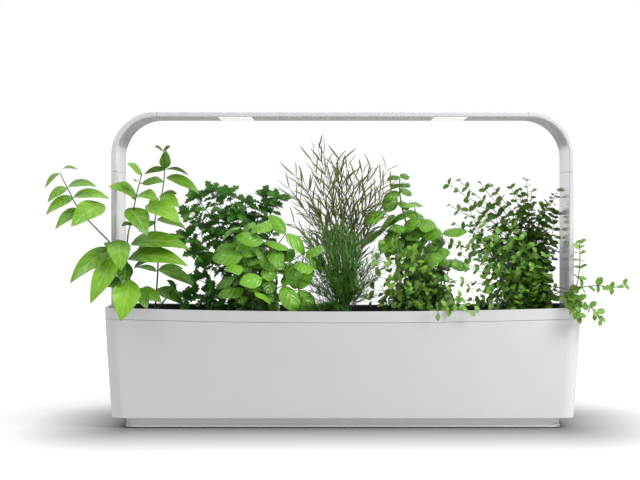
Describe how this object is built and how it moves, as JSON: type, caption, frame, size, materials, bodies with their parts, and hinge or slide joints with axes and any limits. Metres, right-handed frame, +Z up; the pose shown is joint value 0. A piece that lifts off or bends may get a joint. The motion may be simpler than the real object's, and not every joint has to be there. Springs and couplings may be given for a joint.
{
  "type": "countertop hydroponic garden",
  "caption": "Long planter with a water tank, net cups of growing herbs in a lift-off deck, and a flat-band light arch standing in sockets at its ends.",
  "frame": {"origin": "middle of the surface that the rubber feet stand on", "axes": "+X along the planter to the viewer's right, -Y to the front, +Z up"},
  "size_m": [0.7133, 0.1793, 0.39],
  "materials": {
    "shell_white": "satin",
    "plinth_white": "matte",
    "foot_rubber": "matte",
    "screw_steel": "satin",
    "tank_grey": "satin",
    "deck_black": "matte",
    "flap_grey": "satin",
    "float_orange": "satin",
    "pump_black": "satin",
    "impeller_white": "satin",
    "tube_silicone": "satin",
    "arch_white": "satin",
    "diffuser_opal": "satin",
    "board_green": "satin",
    "bay_grey": "satin",
    "cup_grey": "matte",
    "plug_foam": "matte",
    "leaf_bright": "satin",
    "leaf_basil": "satin",
    "leaf_dill": "matte",
    "leaf_thyme": "matte",
    "leaf_oregano": "matte",
    "leaf_parsley": "matte",
    "leaf_tarragon": "matte"
  },
  "bodies": {
    "root": {"outer_casing": "shell_white", "rim_frame": "shell_white", "base_plinth": "plinth_white", "rubber_feet": "foot_rubber", "plinth_screws": "screw_steel", "reservoir_tank": "tank_grey", "pump_housing": "pump_black", "leg_sockets": "deck_black", "connector_bay": "bay_grey", "control_board": "board_green", "power_inlet": "deck_black"},
    "deck": {"pod_deck": "deck_black", "filler_hinge_pin": "screw_steel", "filler_chute": "tank_grey", "riser_tube": "tube_silicone", "drip_manifold": "tank_grey"},
    "flap": {"filler_flap": "flap_grey"},
    "float": {"level_float": "float_orange"},
    "impeller": {"pump_impeller": "impeller_white"},
    "left_leg": {"left_leg": "arch_white"},
    "right_leg": {"right_leg": "arch_white"},
    "arch": {"left_elbow": "arch_white", "right_elbow": "arch_white", "lamp_housing": "arch_white", "light_diffusers": "diffuser_opal", "led_boards": "board_green"},
    "button": {"power_button": "flap_grey"},
    "pod_01": {"net_cup_01": "cup_grey", "grow_plug_01": "plug_foam", "broad_leaf_herb_front": "leaf_bright"},
    "pod_02": {"net_cup_02": "cup_grey", "grow_plug_02": "plug_foam", "bush_basil": "leaf_basil"},
    "pod_03": {"net_cup_03": "cup_grey", "grow_plug_03": "plug_foam", "dill": "leaf_dill"},
    "pod_04": {"net_cup_04": "cup_grey", "grow_plug_04": "plug_foam", "creeping_thyme": "leaf_thyme"},
    "pod_05": {"net_cup_05": "cup_grey", "grow_plug_05": "plug_foam", "oregano_front": "leaf_oregano"},
    "pod_06": {"net_cup_06": "cup_grey", "grow_plug_06": "plug_foam", "broad_leaf_herb_back": "leaf_bright"},
    "pod_07": {"net_cup_07": "cup_grey", "grow_plug_07": "plug_foam", "parsley": "leaf_parsley"},
    "pod_08": {"net_cup_08": "cup_grey", "grow_plug_08": "plug_foam", "tarragon": "leaf_tarragon"},
    "pod_09": {"net_cup_09": "cup_grey", "grow_plug_09": "plug_foam", "tall_basil": "leaf_basil"},
    "pod_10": {"net_cup_10": "cup_grey", "grow_plug_10": "plug_foam", "oregano_back": "leaf_oregano"}
  },
  "joints": [
    {"name": "deck_lift", "type": "slide", "parent": "root", "child": "deck", "axis": [0, 0, 1], "range_m": [0, 0.03]},
    {"name": "left_leg_lift", "type": "slide", "parent": "root", "child": "left_leg", "axis": [0, 0, 1], "range_m": [0, 0.045]},
    {"name": "right_leg_lift", "type": "slide", "parent": "root", "child": "right_leg", "axis": [0, 0, 1], "range_m": [0, 0.045]},
    {"name": "arch_lift", "type": "slide", "parent": "left_leg", "child": "arch", "axis": [0, 0, 1], "range_m": [0, 0.02]},
    {"name": "flap_hinge", "type": "hinge", "parent": "deck", "child": "flap", "pos_m": [-0.191, -0.0071, 0.1389], "axis": [-1, 0, 0], "range_deg": [0, 95]},
    {"name": "float_rise", "type": "slide", "parent": "root", "child": "float", "axis": [0, 0, 1], "range_m": [0, 0.058]},
    {"name": "impeller_spin", "type": "hinge", "parent": "root", "child": "impeller", "pos_m": [0.06, 0, 0.029], "axis": [0, 0, 1], "continuous": true},
    {"name": "button_press", "type": "slide", "parent": "root", "child": "button", "axis": [0, -1, 0], "range_m": [0, 0.0012], "stiffness_N_per_m": 300},
    {"name": "pod_lift_01", "type": "slide", "parent": "deck", "child": "pod_01", "axis": [0, 0, 1], "range_m": [0, 0.05]},
    {"name": "pod_lift_02", "type": "slide", "parent": "deck", "child": "pod_02", "axis": [0, 0, 1], "range_m": [0, 0.05]},
    {"name": "pod_lift_03", "type": "slide", "parent": "deck", "child": "pod_03", "axis": [0, 0, 1], "range_m": [0, 0.05]},
    {"name": "pod_lift_04", "type": "slide", "parent": "deck", "child": "pod_04", "axis": [0, 0, 1], "range_m": [0, 0.05]},
    {"name": "pod_lift_05", "type": "slide", "parent": "deck", "child": "pod_05", "axis": [0, 0, 1], "range_m": [0, 0.05]},
    {"name": "pod_lift_06", "type": "slide", "parent": "deck", "child": "pod_06", "axis": [0, 0, 1], "range_m": [0, 0.03]},
    {"name": "pod_lift_07", "type": "slide", "parent": "deck", "child": "pod_07", "axis": [0, 0, 1], "range_m": [0, 0.03]},
    {"name": "pod_lift_08", "type": "slide", "parent": "deck", "child": "pod_08", "axis": [0, 0, 1], "range_m": [0, 0.033]},
    {"name": "pod_lift_09", "type": "slide", "parent": "deck", "child": "pod_09", "axis": [0, 0, 1], "range_m": [0, 0.05]},
    {"name": "pod_lift_10", "type": "slide", "parent": "deck", "child": "pod_10", "axis": [0, 0, 1], "range_m": [0, 0.05]}
  ],
  "couplings": [
    {"joint": "right_leg_lift", "follows": "left_leg_lift", "ratio": 1}
  ]
}
